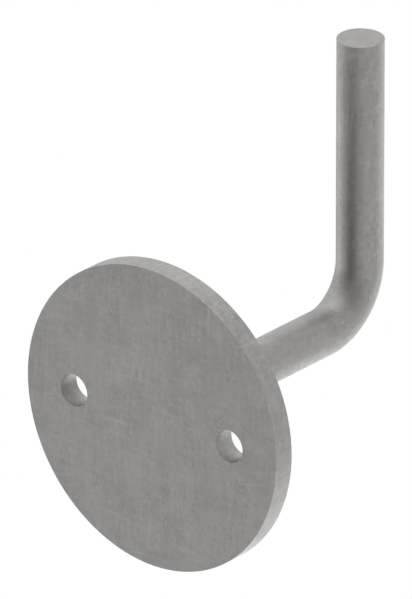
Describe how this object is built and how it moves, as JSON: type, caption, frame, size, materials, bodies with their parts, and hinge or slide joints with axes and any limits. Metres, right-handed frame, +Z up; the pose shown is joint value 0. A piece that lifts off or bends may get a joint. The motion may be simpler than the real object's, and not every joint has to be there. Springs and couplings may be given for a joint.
{
  "type": "handrail bracket",
  "caption": "Wall bracket for a handrail: a round wall plate with screw holes, and a round bar welded square to it that bends upwards and ends in a plain sawn face.",
  "frame": {"origin": "centre of the wall plate's flat wall face, where the centre line of the bar's level leg meets the wall", "axes": "+Z up, along the bar's upright leg; +Y out of the plate's wall face into the wall, so the room is on the -Y side; X along the wall, through both screw holes"},
  "size_m": [0.08, 0.086, 0.115],
  "materials": {
    "plate_steel": "raw flat steel, grey, matt, with fine upright grain, faint clouding and light scratches",
    "bar_steel": "raw bright round steel, grey, satin, with fine grain along the bar",
    "weld_metal": "bare rippled weld metal, brushed clean"
  },
  "bodies": {
    "root": {"wall_plate": "plate_steel", "support_bar": "bar_steel", "weld_bead": "weld_metal"}
  },
  "joints": []
}
